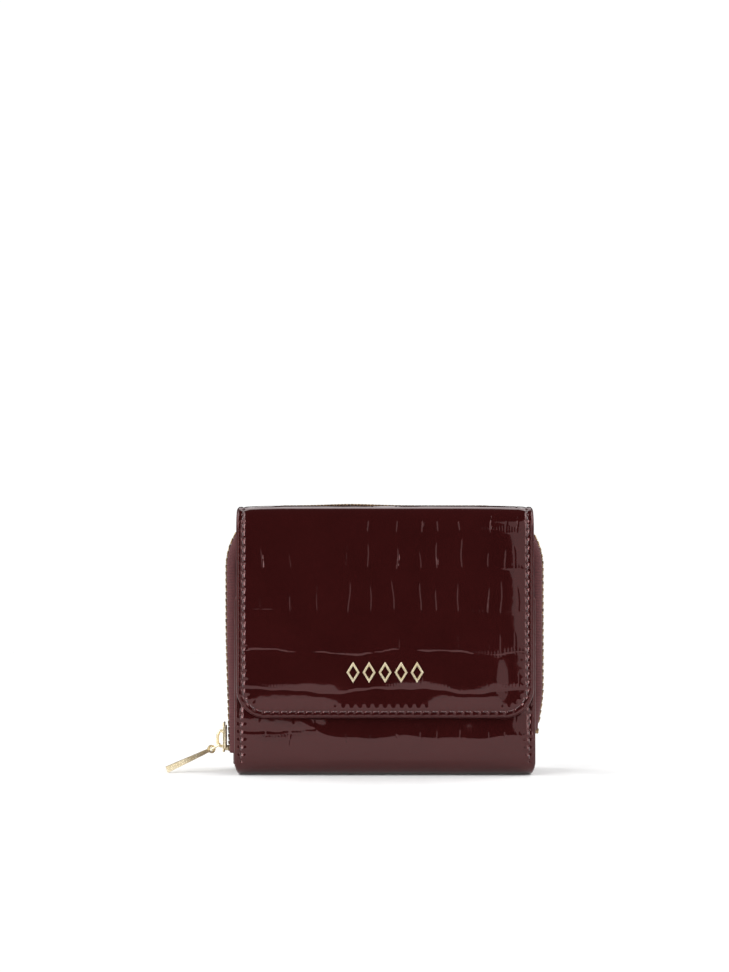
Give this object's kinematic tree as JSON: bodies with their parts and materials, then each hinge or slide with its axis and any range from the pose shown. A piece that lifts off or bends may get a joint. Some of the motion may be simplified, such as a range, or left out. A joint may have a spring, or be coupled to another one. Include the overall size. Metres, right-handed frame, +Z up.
{
  "type": "wallet",
  "caption": "Compact trifold wallet in glossy reptile-embossed leather, with a snap flap over a card section and a zip-around coin pouch behind, standing on its fold.",
  "frame": {"origin": "on the surface that the wallet stands on, at the middle of its width, under the centre wall", "axes": "+Z up, -Y is the front with the flap, +X to the right seen from the front"},
  "size_m": [0.1359, 0.0311, 0.0949],
  "materials": {
    "croc_leather": "glossy patent, embossed with a reptile pattern",
    "smooth_leather": "smooth, semi-matt",
    "lining_fabric": "twill",
    "zip_tape": "woven tape",
    "board": "grey-brown fibre board",
    "thread": "waxed polyester thread",
    "gold_metal": "pale gold plate, polished",
    "tooth_brass": "antique gold, polished tips",
    "plain_steel": "zinc plated",
    "magnet": "nickel plated"
  },
  "bodies": {
    "root": {"flap_anchor": "croc_leather", "centre_board": "board", "centre_lining": "smooth_leather", "note_pocket": "lining_fabric", "card_pocket_1": "smooth_leather", "card_pocket_2": "smooth_leather", "card_pocket_3": "smooth_leather", "bottom_spine_leather": "croc_leather", "bottom_spine_lining": "lining_fabric", "pouch_front_wall": "smooth_leather", "pouch_front_lining": "lining_fabric", "gusset_left": "lining_fabric", "gusset_right": "lining_fabric", "zip_tape_front": "zip_tape", "zip_tape_back_end": "zip_tape", "zip_teeth_front": "tooth_brass", "zip_teeth_back_end": "tooth_brass", "zip_top_stops": "tooth_brass", "zip_bottom_stop": "tooth_brass", "zip_end_tab_left": "smooth_leather", "zip_end_tab_right": "smooth_leather"},
    "top_spine": {"top_spine_leather": "croc_leather", "top_spine_lining": "smooth_leather"},
    "flap": {"flap_leather": "croc_leather", "flap_stiffener": "board", "flap_lining": "smooth_leather", "flap_stitching": "thread", "emblem": "gold_metal", "snap_case": "gold_metal", "snap_magnet": "magnet", "snap_case_washer": "plain_steel"},
    "front_panel": {"front_panel_leather": "croc_leather", "front_panel_stiffener": "board", "front_panel_lining": "smooth_leather", "panel_pocket_1": "smooth_leather", "panel_pocket_2": "smooth_leather", "front_panel_stitching": "thread", "snap_stud": "gold_metal", "snap_stud_washer": "plain_steel"},
    "pouch_back": {"pouch_back_leather": "croc_leather", "pouch_back_stiffener": "board", "pouch_back_lining": "lining_fabric", "pouch_back_stitching": "thread", "zip_tape_back": "zip_tape", "zip_teeth_back": "tooth_brass"},
    "slider": {"slider_body": "gold_metal", "slider_bail": "gold_metal"},
    "link": {"puller_link": "gold_metal"},
    "bar": {"puller_bar": "gold_metal"}
  },
  "joints": [
    {"name": "top_fold_rear", "type": "hinge", "parent": "root", "child": "top_spine", "pos_m": [0, -0.00211, 0.09179], "axis": [-1, 0, 0], "range_deg": [0, 90]},
    {"name": "top_fold_front", "type": "hinge", "parent": "top_spine", "child": "flap", "pos_m": [0, -0.01229, 0.09179], "axis": [-1, 0, 0], "range_deg": [0, 90]},
    {"name": "front_fold", "type": "hinge", "parent": "root", "child": "front_panel", "pos_m": [0, -0.00853, 0.00277], "axis": [1, 0, 0], "range_deg": [0, 86]},
    {"name": "pouch_hinge", "type": "hinge", "parent": "root", "child": "pouch_back", "pos_m": [0, 0.0134, 0.0016], "axis": [-1, 0, 0], "range_deg": [0, 28]},
    {"name": "zip_slide", "type": "slide", "parent": "root", "child": "slider", "axis": [0, 0, 1], "range_m": [0, 0.054], "deforming": ["zip_teeth_front", "zip_teeth_back", "zip_teeth_back_end"]},
    {"name": "link_swing", "type": "hinge", "parent": "slider", "child": "link", "pos_m": [-0.0594, 0.0076, 0.00895], "axis": [0, 1, 0], "range_deg": [0, 60]},
    {"name": "bar_swing", "type": "hinge", "parent": "link", "child": "bar", "pos_m": [-0.06226, 0.0076, 0.0073], "axis": [0, 1, 0], "range_deg": [0, 50]}
  ],
  "couplings": [
    {"joint": "top_fold_front", "follows": "top_fold_rear", "ratio": 1},
    {"joint": "front_fold", "follows": "top_fold_rear", "ratio": 0.95}
  ]
}
